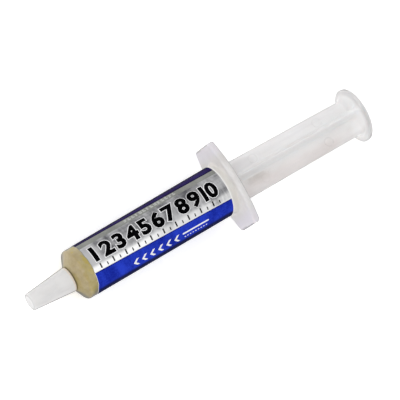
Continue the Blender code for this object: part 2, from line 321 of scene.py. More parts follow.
def barrel_plastic():
    """Natural polypropylene: milky and satin, amber where paste wets its inside."""
    g = Graph("natural_polypropylene")
    x, y, z = g.split()
    cloud = g.noise(170, 4, 0.6)
    fine = g.noise(900, 2, 0.5)
    clear = g.mix(g.span(cloud, 0.3, 0.7), (0.83, 0.805, 0.795), (0.92, 0.90, 0.90))
    # The ends of the flange look a little more lilac than its middle.
    wing = g.span(g.math("ABSOLUTE", y), 0.0092, 0.0128)
    clear = g.mix(g.math("MULTIPLY", wing, 0.7), clear, (0.88, 0.845, 0.91))
    # A cream cast in the short collar between the label and the flange.
    cream = g.math(
        "MULTIPLY", g.span(x, 0.0066, 0.0074), g.span(x, 0.0090, 0.0099, 1.0, 0.0)
    )
    clear = g.mix(g.math("MULTIPLY", cream, 0.60), clear, (0.90, 0.87, 0.79))
    # Painted edge shade: a thin dark line where the clear walls turn away, left off the fillet at the flange.
    fillet = g.math(
        "MULTIPLY", g.span(x, 0.0070, 0.0074), g.span(x, 0.00974, 0.0100, 1.0, 0.0)
    )
    line = g.math("SUBTRACT", 0.92, g.math("MULTIPLY", fillet, 0.92))
    clear = g.outline(clear, line, (0.20, 0.19, 0.195), 0.65, 0.74)
    # Painted edge shade: a grey line on the flange's back edge and on the lower edge of its front face.
    high = g.math("ADD", g.math("ABSOLUTE", z), 0.02655)
    far = g.math("SQRT", g.math("ADD", g.math("MULTIPLY", y, y), g.math("MULTIPLY", high, high)))
    inset = g.math("MINIMUM", g.math("SUBTRACT", 0.0370, far), g.math("SUBTRACT", 0.0156, g.math("ABSOLUTE", y)))
    edge_hoop_shade = g.math("MULTIPLY", g.span(x, 0.01172, 0.01186), g.span(x, 0.01221, 0.01225, 1.0, 0.0))
    edge_hoop_shade = g.math("MULTIPLY", edge_hoop_shade, g.span(inset, 0.0005, 0.0008, 0.45, 0.0))
    brim_shade = g.math("MULTIPLY", g.span(x, 0.0095, 0.0097), g.span(x, 0.0101, 0.0106, 1.0, 0.0))
    brim_shade = g.math("MULTIPLY", brim_shade, g.span(z, -0.002, 0.0005, 0.55, 0.0))
    brim_shade = g.math("MULTIPLY", brim_shade, g.span(inset, 0.0005, 0.0010, 1.0, 0.0))
    clear = g.mix(g.math("MAXIMUM", edge_hoop_shade, brim_shade), clear, (0.42, 0.41, 0.42))
    # Paste behind the nose and the front of the wall.
    mottle = g.span(g.noise(420, 5, 0.65), 0.32, 0.68)
    swirl = g.noise(230, 4, 0.6, g.stretch((1.6, 0.7, 0.7)), 1.2)
    # Painted light: the paste is painted paler on the upper, far side, on top of its own swirls.
    swirl_and_far_light = g.math("ADD", g.span(swirl, 0.42, 0.60, 0.0, 0.6), g.span(y, -0.0045, 0.0060, -0.15, 0.5))
    low = g.mix(mottle, (0.45, 0.345, 0.115), (0.57, 0.46, 0.19))
    pale = g.mix(mottle, (0.51, 0.41, 0.25), (0.61, 0.52, 0.35))
    cone = g.mix(swirl_and_far_light, low, pale)
    rim = g.mix(mottle, (0.45, 0.36, 0.115), (0.57, 0.47, 0.19))
    # Painted light: the rim is painted paler towards the far side as well.
    rim = g.mix(g.span(y, 0.0, 0.0050, 0.0, 0.6), rim, pale)
    ochre = g.span(g.noise(310, 3, 0.55, g.stretch((1.0, 0.8, 0.8))), 0.50, 0.64)
    rim = g.mix(ochre, rim, (0.56, 0.44, 0.085))
    # Painted highlight: a soft gleam along the near side of the rim.
    gleam = g.math("MULTIPLY", g.span(y, -0.0052, -0.0036), g.span(y, -0.0020, -0.0002, 1.0, 0.0))
    rim = g.mix(g.math("MULTIPLY", gleam, 0.40), rim, (0.68, 0.585, 0.34))
    wet = g.mix(g.span(x, -0.0518, -0.0505), cone, rim)
    # Painted shade: the paste is darkened on the near, lower side where its surface turns away.
    near_side_shade = g.span(y, -0.0062, -0.0036, 1.0, 0.0)
    near_side_shade = g.math("MULTIPLY", near_side_shade, g.span(x, -0.0512, -0.0498, 0.35, 0.95))
    wet = g.outline(wet, near_side_shade, (0.13, 0.105, 0.03), 0.22, 0.62)
    # Painted edge shade: grey where the clear wall turns away on the far side, a dark band low on the near side,
    # then a thin dark line all round.
    wet = g.outline(wet, g.span(y, 0.0, 0.0040, 0.0, 0.65), (0.42, 0.42, 0.36), 0.66, 0.74)
    wet = g.outline(wet, g.span(y, -0.0048, -0.0034, 0.9, 0.0), (0.085, 0.075, 0.05), 0.58, 0.78)
    wet = g.outline(wet, 0.95, (0.085, 0.075, 0.05), 0.70, 0.85)
    nose = g.math(
        "MULTIPLY", g.span(x, -0.0547, -0.0542), g.span(x, -0.046, -0.040, 1.0, 0.0)
    )
    clear = g.mix(g.span(x, -0.0552, -0.0546, 0.28, 0.0), clear, (0.74, 0.62, 0.34))
    g.set(Base_Color=g.mix(g.math("MULTIPLY", nose, 0.95), clear, wet))
    g.set(
        Roughness=g.math(
            "ADD", 0.30, g.math("MULTIPLY", g.noise(240, 4, 0.65), 0.18)
        )
    )
    g.set(Normal=g.bump(fine, 0.10, 0.0002, g.bump(cloud, 0.10, 0.0008)))
    g.set(IOR=1.49, Transmission_Weight=0.30)
    g.set(Subsurface_Weight=0.35, Subsurface_Scale=0.002)
    g.set(Subsurface_Radius=(1.0, 0.9, 0.8))
    g.set(Specular_IOR_Level=0.22)
    return g.mat


def rod_plastic():
    """The rod's polypropylene, clearer than the cap and a little cool."""
    g = Graph("rod_polypropylene", rod=True)
    x, y, z = g.split()
    cloud = g.noise(150, 4, 0.6, g.stretch((0.5, 1, 1)))
    colour = g.mix(g.span(cloud, 0.3, 0.7), (0.79, 0.765, 0.755), (0.895, 0.88, 0.88))
    # Painted light and shade: the far side is painted cooler and paler, and the near side, away from the disc,
    # warmer and darker.
    sides = g.span(y, -0.0012, 0.0012)
    shaded_near_side = g.math("MULTIPLY", g.math("SUBTRACT", 1.0, sides), g.span(x, 0.050, 0.062, 1.0, 0.0))
    colour = g.mix(shaded_near_side, colour, (0.92, 0.895, 0.89), "MULTIPLY")
    colour = g.mix(g.math("MULTIPLY", sides, 0.45), colour, (0.96, 0.955, 0.97))
    # Flow lines of the moulding along the ribs.
    flow = g.noise(520, 3, 0.6, g.stretch((0.05, 1, 1)))
    colour = g.mix(g.span(flow, 0.45, 0.8, 0.0, 0.30), colour, (0.68, 0.67, 0.675))
    # The thick roots of the ribs and the end by the disc are painted paler: partly milkier plastic, partly
    # painted light that lifts the shade in the rib corners and by the disc.
    deep = g.math(
        "SQRT", g.math("ADD", g.math("MULTIPLY", y, y), g.math("MULTIPLY", z, z))
    )
    milk_and_fill_light = g.span(deep, 0.0008, 0.0050, 0.85, 0.0)
    milk_and_fill_light = g.math("MAXIMUM", milk_and_fill_light, g.span(x, 0.0585, 0.0638, 0.0, 0.95))
    colour = g.mix(milk_and_fill_light, colour, (0.985, 0.975, 0.97))
    # Painted shade: a soft brownish-grey patch near the barrel's mouth, on the lower rib.
    dx = g.math("DIVIDE", g.math("SUBTRACT", x, 0.0217), 0.0070)
    dy = g.math("DIVIDE", g.math("ADD", y, 0.0024), 0.0029)
    away = g.math(
        "SQRT",
        g.math("ADD", g.math("MULTIPLY", dx, dx), g.math("MULTIPLY", dy, dy)),
    )
    ragged = g.math("ADD", away, g.math("MULTIPLY", g.noise(420, 4, 0.65), 0.9))
    mouth_shade = g.span(ragged, 0.45, 1.45, 0.55, 0.0)
    colour = g.mix(mouth_shade, colour, (0.53, 0.485, 0.455))
    # Painted shadow of the flange on the far rib by the barrel's mouth: a duller oval with a painted light edge.
    ox = g.math("DIVIDE", g.math("SUBTRACT", x, 0.0192), 0.0066)
    oy = g.math("DIVIDE", g.math("SUBTRACT", y, 0.0039), 0.0026)
    flange_shadow = g.math("ADD", g.math("MULTIPLY", ox, ox), g.math("MULTIPLY", oy, oy))
    colour = g.mix(g.span(flange_shadow, 0.45, 0.95, 0.35, 0.0), colour, (0.70, 0.69, 0.70))
    flange_shadow_lit_edge = g.span(g.math("ABSOLUTE", g.math("SUBTRACT", flange_shadow, 1.12)), 0.04, 0.22, 0.5, 0.0)
    colour = g.mix(flange_shadow_lit_edge, colour, (0.97, 0.97, 0.975))
    # Painted light: the upright rib's near face is painted pale, standing in for light that comes through the
    # rib.
    through = g.math("MULTIPLY", g.span(y, -0.0016, -0.0010), g.span(y, -0.0006, -0.0003, 1.0, 0.0))
    colour = g.mix(g.math("MULTIPLY", through, 0.85), colour, (1.0, 0.995, 0.99))
    # The pins' witness marks have a thin grey ring.
    for rib, mark_x, mark_out in PIN_MARKS:
        mx = g.math("SUBTRACT", x, mark_x * MM)
        my = g.math("SUBTRACT", y, (mark_out if rib == 1 else -mark_out) * MM)
        far = g.math(
            "SQRT",
            g.math("ADD", g.math("MULTIPLY", mx, mx), g.math("MULTIPLY", my, my)),
        )
        off = g.math("ABSOLUTE", g.math("SUBTRACT", far, (PIN_R - 0.05) * MM))
        strong = {51.2: 0.30, 51.4: 0.12}.get(mark_x, 0.14 if rib == 1 else 0.05)
        ring = g.span(off, 0.00008, 0.00032, strong, 0.0)
        ring = g.math("MULTIPLY", ring, g.span(z, 0.0, 0.0002))
        colour = g.mix(ring, colour, (0.52, 0.50, 0.50))
    # Painted edge shade: a grey band on the disc's rim and the outer part of its front face, stronger on the far
    # side.
    rim = g.math("MULTIPLY", g.span(deep, 0.0074, 0.0095), g.span(x, 0.0630, 0.0640))
    rim = g.math("MULTIPLY", rim, g.span(y, -0.0030, 0.0060, 0.42, 0.72))
    rim = g.math("MULTIPLY", rim, g.span(x, 0.0653, 0.0657, 1.0, 0.0))
    colour = g.mix(rim, colour, (0.60, 0.595, 0.60))
    # Painted edge shade: a thin grey line on the disc's back outer edge.
    edge_hoop_shade = g.math("MULTIPLY", g.span(x, 0.0652, 0.0655), g.span(deep, 0.0090, 0.0094))
    colour = g.mix(g.math("MULTIPLY", edge_hoop_shade, 0.55), colour, (0.42, 0.42, 0.43))
    # The disc beyond the ribs is thinner and greyer, with painted shade in a line along its lower, near edge.
    thin = g.math("MULTIPLY", g.span(deep, 0.0074, 0.0084), g.span(x, 0.0634, 0.0641))
    colour = g.mix(g.math("MULTIPLY", thin, 0.35), colour, (0.78, 0.77, 0.775))
    under = g.math("MULTIPLY", g.span(deep, 0.0092, 0.0096), g.span(x, 0.0638, 0.0641))
    under = g.math("MULTIPLY", under, g.span(x, 0.0649, 0.0653, 0.45, 0.0))
    under = g.math("MULTIPLY", under, g.span(y, -0.0030, 0.0, 1.0, 0.0))
    colour = g.mix(under, colour, (0.50, 0.50, 0.505))
    # Painted shade on the outer part of the near rib, along the rod's lower edge.
    near = g.math("MULTIPLY", g.span(y, -0.0072, -0.0050, 1.0, 0.0), g.span(deep, 0.0078, 0.0074))
    colour = g.mix(g.math("MULTIPLY", near, 0.40), colour, (0.60, 0.585, 0.59))
    # Painted edge shade just inside the side ribs' free edges, strongest on the far rib.
    flat = g.span(g.math("ABSOLUTE", y), 0.0012, 0.0022)
    flat = g.math("MAXIMUM", flat, g.span(x, 0.0638, 0.0642))
    edge = g.span(x, 0.0064, 0.0642, 0.00748, 0.00703, "LINEAR")
    free = g.span(g.math("SUBTRACT", deep, edge), -0.00048, -0.00015, 0.0, 0.42)
    free = g.math("MULTIPLY", free, g.math("MULTIPLY", flat, g.span(x, 0.0612, 0.0622, 1.0, 0.0)))
    free = g.math("MULTIPLY", free, g.span(y, -0.001, 0.001, 0.12, 1.15))
    colour = g.mix(free, colour, (0.40, 0.395, 0.40))
    # Painted edge shade where the ribs' outer parts turn away, kept off the flare into the disc.
    flare = g.math("MULTIPLY", g.span(x, 0.0612, 0.0622), g.span(x, 0.0641, 0.0643, 1.0, 0.0))
    tip = g.math("MULTIPLY", g.span(deep, 0.0059, 0.0067, 0.0, 0.95), flat)
    tip = g.math("MULTIPLY", tip, g.math("SUBTRACT", 1.0, flare))
    # The disc's flat faces have none, only its rounded edges.
    faces = g.math("MAXIMUM", g.span(x, 0.0657, 0.0658), g.span(x, 0.06425, 0.06435, 1.0, 0.0))
    faces = g.math("MULTIPLY", faces, g.span(x, 0.0638, 0.0641))
    faces = g.math("MULTIPLY", faces, g.span(deep, 0.0092, 0.0094, 1.0, 0.0))
    tip = g.math("MULTIPLY", tip, g.math("SUBTRACT", 1.0, faces))
    tip = g.math("MULTIPLY", tip, g.span(x, 0.0640, 0.0646, 1.0, 0.62))
    colour = g.outline(colour, tip, (0.17, 0.168, 0.17), 0.56, 0.77)
    g.set(Base_Color=colour)
    g.set(
        Roughness=g.math("ADD", 0.26, g.math("MULTIPLY", g.noise(180, 4, 0.65), 0.2))
    )
    g.set(
        Normal=g.bump(
            g.noise(1000, 2, 0.5), 0.07, 0.0002, g.bump(flow, 0.10, 0.0004)
        )
    )
    # The thick end by the disc is milky and lets less light straight through.
    thick = g.math("MULTIPLY", g.span(x, 0.0570, 0.0625), g.span(y, -0.0004, 0.0008, 1.0, 0.55))
    thick = g.math("MULTIPLY", thick, g.span(deep, 0.0074, 0.0082, 1.0, 0.0))
    g.set(IOR=1.49, Transmission_Weight=g.math("SUBTRACT", 0.28, g.math("MULTIPLY", thick, 0.13)))
    g.set(Subsurface_Weight=0.7, Subsurface_Scale=0.004)
    g.set(Subsurface_Radius=(1.0, 0.9, 0.85))
    g.set(Specular_IOR_Level=0.22)
    return g.mat


def cap_plastic():
    """Frosted white polyethylene."""
    g = Graph("frosted_polyethylene")
    x, y, z = g.split()
    cloud = g.noise(260, 4, 0.6, g.stretch((0.5, 1, 1)))
    colour = g.mix(g.span(cloud, 0.3, 0.7), (0.75, 0.74, 0.735), (0.84, 0.83, 0.825))
    rim = g.span(x, -0.05515, -0.05490)
    colour = g.mix(g.math("MULTIPLY", rim, 0.75), colour, (0.96, 0.80, 0.62))
    # Painted edge shade where the cap's sides turn away, kept off the flat end face.
    out = g.math("SQRT", g.math("ADD", g.math("MULTIPLY", y, y), g.math("MULTIPLY", z, z)))
    end = g.math("MULTIPLY", g.span(x, -0.0699, -0.0695, 1.0, 0.0), g.span(out, 0.0022, 0.0026, 1.0, 0.0))
    line = g.math("SUBTRACT", 0.95, g.math("MULTIPLY", end, 0.95))
    colour = g.outline(colour, line, (0.13, 0.128, 0.13), 0.61, 0.80)
    # Painted edge shade: a faint grey line on the rounded edge of the end face.
    ring = g.math("ABSOLUTE", g.math("SUBTRACT", out, 0.00262))
    ring = g.math("MULTIPLY", g.span(ring, 0.00010, 0.00042, 0.55, 0.0), g.span(x, -0.0694, -0.0690, 1.0, 0.0))
    colour = g.mix(ring, colour, (0.50, 0.50, 0.50))
    # Painted shadow: a dark line at the mouth, where the cap meets the nose.
    colour = g.mix(g.span(x, -0.05446, -0.05438, 0.0, 0.8), colour, (0.10, 0.095, 0.07))
    g.set(Base_Color=colour)
    frost = g.noise(2600, 2, 0.6)
    g.set(Roughness=g.math("ADD", 0.38, g.math("MULTIPLY", g.noise(300, 3), 0.2)))
    g.set(Normal=g.bump(frost, 0.16, 0.0001))
    g.set(IOR=1.5, Transmission_Weight=0.14)
    g.set(Subsurface_Weight=0.5, Subsurface_Scale=0.002)
    g.set(Subsurface_Radius=(1.0, 0.95, 0.9))
    g.set(Specular_IOR_Level=0.2)
    return g.mat


def paste_material():
    """Amber flux paste, waxy, with faint streaks and small trapped bubbles."""
    g = Graph("amber_paste")
    streak = g.noise(220, 4, 0.6, g.stretch((0.4, 1, 1)), 0.6)
    colour = g.mix(streak, (0.42, 0.32, 0.11), (0.56, 0.46, 0.20))
    bubble = g.span(g.cells(900), 0.10, 0.22, 1.0, 0.0)
    colour = g.mix(g.math("MULTIPLY", bubble, 0.5), colour, (0.66, 0.58, 0.34))
    g.set(Base_Color=colour)
    g.set(Roughness=g.math("ADD", 0.30, g.math("MULTIPLY", streak, 0.2)))
    g.set(Normal=g.bump(streak, 0.3, 0.0003))
    g.set(Subsurface_Weight=0.4, Subsurface_Scale=0.002)
    g.set(Subsurface_Radius=(1.0, 0.7, 0.3))
    return g.mat


def seal_material():
    """Cream elastomer with a dull bloom."""
    g = Graph("cream_elastomer")
    bloom = g.noise(380, 4, 0.65)
    colour = g.mix(bloom, (0.56, 0.52, 0.42), (0.66, 0.62, 0.52))
    g.set(Base_Color=colour)
    g.set(Roughness=g.math("ADD", 0.5, g.math("MULTIPLY", bloom, 0.2)))
    g.set(Normal=g.bump(g.noise(1500, 3), 0.2, 0.0002))
    return g.mat


def foil_wrinkles(g, strength):
    """Soft waves and short creases of a thin film pulled round a tube."""
    waves = g.noise(150, 3, 0.5, g.around(0.8, 1.0), 0.4)
    creases = g.noise(520, 2, 0.5, g.around(1.0, 0.22))
    return g.bump(
        creases, strength * 0.35, 0.0003, g.bump(waves, strength, 0.0012)
    )


def silver_foil():
    """Bare foil with painted reflections: a cloudy tone, streaks along and across, and a painted glare along its
    lower edge.
    """
    g = Graph("silver_foil")
    x, y, z = g.split()
    # The cloudy tone is painted reflection of the crumpled foil, brighter near the front.
    cloud = g.noise(150, 4, 0.6, g.around(1.3, 0.6), 0.5)
    cross = g.noise(330, 3, 0.6, g.around(1.0, 0.10))
    along = g.noise(330, 3, 0.6, g.around(0.10, 1.0))
    tone = g.math("ADD", g.math("MULTIPLY", cloud, 0.5), g.math("MULTIPLY", cross, 0.25))
    tone = g.math("ADD", tone, g.math("MULTIPLY", along, 0.25))
    tone = g.math("ADD", tone, g.span(x, -0.0487, -0.0385, 0.17, 0.0))
    # Painted reflection: darker towards the flange, as the foil there mirrors it.
    tone = g.math("SUBTRACT", tone, g.span(x, -0.010, 0.0072, 0.0, 0.015))
    share = g.span(tone, 0.37, 0.60)
    colour = g.mix(share, (0.12, 0.12, 0.13), (0.52, 0.52, 0.53))
    # Painted highlight: the glare just above the blue field, widest at the front.
    edge = g.span(x, 0.001 * LABEL_FRONT_X, 0.001 * LABEL_BACK_X, 18.5, 28.8, "LINEAR")
    above = g.math("SUBTRACT", edge, g.turn())
    wide = g.span(x, 0.001 * LABEL_FRONT_X, 0.001 * LABEL_BACK_X, 17.0, 22.0, "LINEAR")
    glare = g.span(g.math("DIVIDE", above, wide), 0.45, 1.02, 1.0, 0.0)
    glare = g.math("MULTIPLY", glare, g.span(above, -2.0, -0.5))
    patches = g.span(tone, 0.34, 0.50, 0.35, 1.0)
    fading = g.span(x, -0.030, 0.002)
    strength = g.math("MULTIPLY", glare, g.mix(fading, (1.0,) * 3, patches))
    strength = g.math("MULTIPLY", strength, g.span(x, -0.029, -0.018, 1.0, 0.62))
    colour = g.mix(strength, colour, (1.0, 1.0, 1.0))
    g.set(Base_Color=colour, Metallic=1.0)
    g.set(Roughness=g.math("ADD", 0.24, g.math("MULTIPLY", g.noise(300, 3), 0.22)))
    g.set(Normal=foil_wrinkles(g, 0.35))
    return g.mat


def film_edge():
    """The bare pale margin of the label's stock."""
    g = Graph("label_margin")
    cloud = g.noise(300, 3, 0.5, g.around())
    g.set(Base_Color=g.mix(cloud, (0.78, 0.77, 0.76), (0.93, 0.92, 0.90)))
    g.set(Roughness=g.math("ADD", 0.35, g.math("MULTIPLY", cloud, 0.2)))
    g.set(Normal=foil_wrinkles(g, 0.2))
    return g.mat


def ink(name, low, high, roughness, specular=0.25, wrinkle=0.2, dark=None, fade=None, lip=None):
    """Printed ink on the foil, with slight patches where it is thinner."""
    g = Graph(name)
    cloud = g.noise(130, 4, 0.6, g.around(1.2, 0.6), 0.3)
    grain = g.noise(1600, 2, 0.6, g.around())
    share = g.math(
        "ADD", g.math("MULTIPLY", cloud, 0.72), g.math("MULTIPLY", grain, 0.28)
    )
    colour = g.mix(g.span(share, 0.34, 0.66), low, high)
    if lip:
        # Thicker, darker ink along the edge where the field begins or ends.
        front, back = 0.001 * LABEL_FRONT_X, 0.001 * LABEL_BACK_X
        edge = g.span(g.split()[0], front, back, lip[0], lip[1], "LINEAR")
        below = g.math("SUBTRACT", g.turn(), edge)
        rise = g.math("MULTIPLY", g.span(below, 1.0, 3.6, 0.6, 0.0), g.span(below, -4.0, -3.0))
        colour = g.mix(rise, colour, dark)
    # Painted shade where the printed field turns away from the camera.
    if dark:
        colour = g.outline(colour, 0.95, dark, *fade)
    g.set(Base_Color=colour)
    g.set(
        Roughness=g.math(
            "ADD", roughness, g.math("MULTIPLY", g.noise(350, 3, 0.6), 0.16)
        )
    )
    g.set(Normal=foil_wrinkles(g, wrinkle), Specular_IOR_Level=specular)
    return g.mat


def floor_material():
    g = Graph("pale_floor")
    g.set(Base_Color=g.mix(g.noise(3, 2), (0.955, 0.955, 0.955), (0.965, 0.965, 0.965)))
    g.set(Roughness=0.9, Specular_IOR_Level=0.1)
    # The table glows a little from below, as a light table does.
    g.set(Emission_Color=(1.0, 1.0, 1.0), Emission_Strength=0.36)
    return g.mat


# ---------------------------------------------------------------- barrel


def flange_outline(inset):
    """The flange's outline as (y, z), evenly fine, with round corners."""
    rise = FLANGE_HALF_WIDTH - FLANGE_END_HALF_WIDTH
    side_r = (FLANGE_HALF_LENGTH**2 + rise**2) / (2 * rise)
    side_z = FLANGE_HALF_WIDTH - side_r
    corner_y = FLANGE_HALF_LENGTH - FLANGE_CORNER_R
    corner_z = side_z + math.sqrt((side_r - FLANGE_CORNER_R) ** 2 - corner_y**2)
    turn = math.atan2(corner_y, corner_z - side_z)
    quarter, sides, corners, ends = [], 30, 8, 8
    for i in range(sides):
        a = turn * (i + 0.5) / sides
        quarter.append(
            ((side_r - inset) * math.sin(a), side_z + (side_r - inset) * math.cos(a))
        )
    for i in range(corners + 1):
        a = lerp(turn, math.pi / 2, i / corners)
        r = FLANGE_CORNER_R - inset
        quarter.append((corner_y + r * math.sin(a), corner_z + r * math.cos(a)))
    for i in range(ends):
        quarter.append(
            (FLANGE_HALF_LENGTH - inset, corner_z * (1 - (i + 0.5) / ends))
        )
    ring = list(quarter)
    ring += [(y, -z) for y, z in reversed(quarter)]
    ring += [(-y, -z) for y, z in quarter]
    ring += [(-y, z) for y, z in reversed(quarter)]
    return ring


def build_barrel(plastic):
    outline = flange_outline(0.0)
    angles = [math.atan2(y, z) for y, z in outline]
    s = Skin()

    def turned(profile):
        return [s.ring(circle(x, r, angles)) for x, r in profile]

    slope = math.atan2(RIM_X - NOSE_FLAT_X, BARREL_R_FRONT - NOSE_FLAT_R)
    reach = RIM_ROUND * math.tan((math.pi / 2 - slope) / 2)
    rim_x, rim_r = RIM_X + reach, BARREL_R_FRONT - SHY - RIM_ROUND
    base_x = NOSE_FLAT_X
    outer = [(NOZZLE_TIP_X, CHANNEL_R + 0.12)]
    outer += arc(NOZZLE_TIP_X + 0.25, NOZZLE_TIP_R - 0.25, 0.25, 180, 90, 5)
    outer += [
        (lerp(NOZZLE_TIP_X, base_x, t), lerp(NOZZLE_TIP_R, NOZZLE_BASE_R, t))
        for t in (0.2, 0.4, 0.6, 0.8)
    ]
    outer += arc(base_x - 0.45, NOZZLE_BASE_R + 0.45, 0.45, 270, 360, 6)
    outer += [(base_x, NOSE_FLAT_R - 0.5)]
    # A soft knee where the flat turns into the shallow cone.
    outer += [
        (base_x + 0.02, NOSE_FLAT_R - 0.2),
        (base_x + 0.09, NOSE_FLAT_R + 0.05),
        (base_x + 0.20, NOSE_FLAT_R + 0.30),
    ]
    knee_x, knee_r = outer[-1]
    rim = arc(rim_x, rim_r, RIM_ROUND, 180 - math.degrees(slope), 90, 9)
    for t in (0.2, 0.4, 0.6, 0.8):
        outer.append((lerp(knee_x, rim[0][0], t), lerp(knee_r, rim[0][1], t)))
    outer += rim
    stop = FLANGE_FRONT_X - 1.1
    for i in range(30):
        x = lerp(rim[-1][0], stop, (i + 1) / 30)
        outer.append((x, barrel_r(x) - SHY))
    outer_rings = turned(outer)

    # The fillet under the flange is wide at the wings and narrow above and below.
    room = [math.hypot(y, z) for y, z in flange_outline(FLANGE_FRONT_EDGE_R)]
    wall = barrel_r(FLANGE_FRONT_X) - SHY
    fillets = [max(0.12, min(1.0, r - wall - 0.10)) for r in room]
    for i in range(8):
        a = math.radians(90 * i / 7)
        ring = []
        for angle, f in zip(angles, fillets):
            x = FLANGE_FRONT_X - f * (1 - math.sin(a))
            r = wall + f * (1 - math.cos(a))
            ring.append((x, r * math.sin(angle), r * math.cos(angle)))
        outer_rings.append(s.ring(ring))

    flat = flange_outline(FLANGE_FRONT_EDGE_R)
    inner_edge = [s.points[i] for i in outer_rings[-1]]
    for t in (0.25, 0.5, 0.75):
        outer_rings.append(
            s.ring(
                [
                    (FLANGE_FRONT_X, lerp(p[1], q[0], t), lerp(p[2], q[1], t))
                    for p, q in zip(inner_edge, flat)
                ]
            )
        )
    edge = []
    for i in range(9):
        a = math.radians(90 * i / 8)
        edge.append(
            (
                FLANGE_FRONT_X + FLANGE_FRONT_EDGE_R * (1 - math.cos(a)),
                FLANGE_FRONT_EDGE_R * (1 - math.sin(a)),
            )
        )
    # A hair-fine witness line of the mould runs round the rim.
    line = FLANGE_BACK_X - FLANGE_BACK_EDGE_R - 0.30
    edge += [(line - 0.12, 0.0), (line - 0.05, 0.05), (line + 0.05, 0.05), (line + 0.12, 0.0)]
    for i in range(6):
        a = math.radians(90 * i / 5)
        edge.append(
            (
                FLANGE_BACK_X - FLANGE_BACK_EDGE_R * (1 - math.sin(a)),
                FLANGE_BACK_EDGE_R * (1 - math.cos(a)),
            )
        )
    for x, inset in edge:
        outer_rings.append(s.ring([(x, y, z) for y, z in flange_outline(inset)]))

    # Back face, the lead-in of the mouth, the bore, the inside of the nose, the channel.
    back = flange_outline(FLANGE_BACK_EDGE_R)
    mouth = 8.62
    for t in (0.33, 0.66):
        outer_rings.append(
            s.ring(
                [
                    (
                        FLANGE_BACK_X,
                        lerp(y, mouth * math.sin(a), t),
                        lerp(z, mouth * math.cos(a), t),
                    )
                    for (y, z), a in zip(back, angles)
                ]
            )
        )
    bore_end = bore_r(FLANGE_BACK_X)
    inner = arc(FLANGE_BACK_X - 0.6, mouth, 0.6, 0, -90, 7)
    inner[0] = (FLANGE_BACK_X, mouth)
    inner = [(x, max(r, bore_end)) for x, r in inner]
    for i in range(14):
        x = lerp(FLANGE_BACK_X - 1.4, BORE_FRONT_X, i / 13)
        inner.append((x, bore_r(x)))
    inner += [
        (BORE_FRONT_X - 0.25, BORE_R_FRONT - 0.08),
        (BORE_FRONT_X - 0.45, BORE_R_FRONT - 0.30),
        (NOSE_FLAT_X + 1.35, 1.90),
        (NOSE_FLAT_X + 1.05, CHANNEL_R + 0.35),
        (NOSE_FLAT_X + 0.80, CHANNEL_R + 0.06),
        (NOSE_FLAT_X - 3.0, CHANNEL_R),
        (NOZZLE_TIP_X + 0.15, CHANNEL_R),
    ]
    rings = outer_rings + turned(inner)
    s.join_all(rings)
    s.join(rings[-1], rings[0])
    return piece(
        "barrel_shell",
        s.bmesh(),
        [plastic],
        LAY,
        "barrel",
        ["barrel"],
    )


# ---------------------------------------------------------------- label

# Edges of the printed fields as (degrees at the front, degrees at the back): the
# print sits a little skew on the tube. The seam lies low on the far side.
SEAM = 146.0
FIELDS = [
    # (front, back, material slot for the field that begins here)
    (SEAM - 360.0, SEAM - 360.0, "silver"),
    (-132.0, -120.0, "navy"),
    (-63.0, -49.9, "grey"),
    (-46.0, -37.2, "silver"),
    (17.4, 27.7, "margin"),
    (18.5, 28.8, "blue"),
    (116.0, 126.0, "silver"),
    (SEAM, SEAM, "silver"),
]
SLOT = {"silver": 0, "navy": 1, "grey": 2, "blue": 3, "margin": 4}


def skewed(front, back, x):
    return lerp(front, back, (x - LABEL_FRONT_X) / (LABEL_BACK_X - LABEL_FRONT_X))


def askew(x, degrees):
    """The film was wrapped a little askew, so its ends lean like its print does."""
    return x - 0.0293 * 9.1 * math.radians(degrees - 40.0)


def uneven(x, degrees):
    """The film's front end is cut by hand and wanders a little."""
    a = math.radians(degrees)
    w = 0.10 * math.sin(3.0 * a + 0.8) + 0.07 * math.sin(8.0 * a + 2.0)
    w += 0.045 * math.sin(17.0 * a)
    return w * (1.0 - smooth((x - LABEL_FRONT_X) / 5.0))


def around_point(x, degrees, r):
    a = math.radians(degrees)
    return (x, -r * math.sin(a), r * math.cos(a))


def ripple(x, degrees):
    """Height of the film's slow waves, in millimetres, flat where it lies on the table."""
    a = math.radians(degrees)
    h = math.sin(0.41 * x + 2.0 * math.sin(a * 1.0) + 0.6)
    h += 0.8 * math.sin(0.23 * x - 3.0 * a + 1.1)
    h += 0.5 * math.sin(0.93 * x + 5.0 * a)
    under = smooth((-math.cos(a) - 0.80) / 0.15)
    return 0.004 * h * (1.0 - under)


def label_height(x, degrees):
    """Radius of the film's outer face."""
    return barrel_r(x) - SHY + 0.052 + ripple(x, degrees)


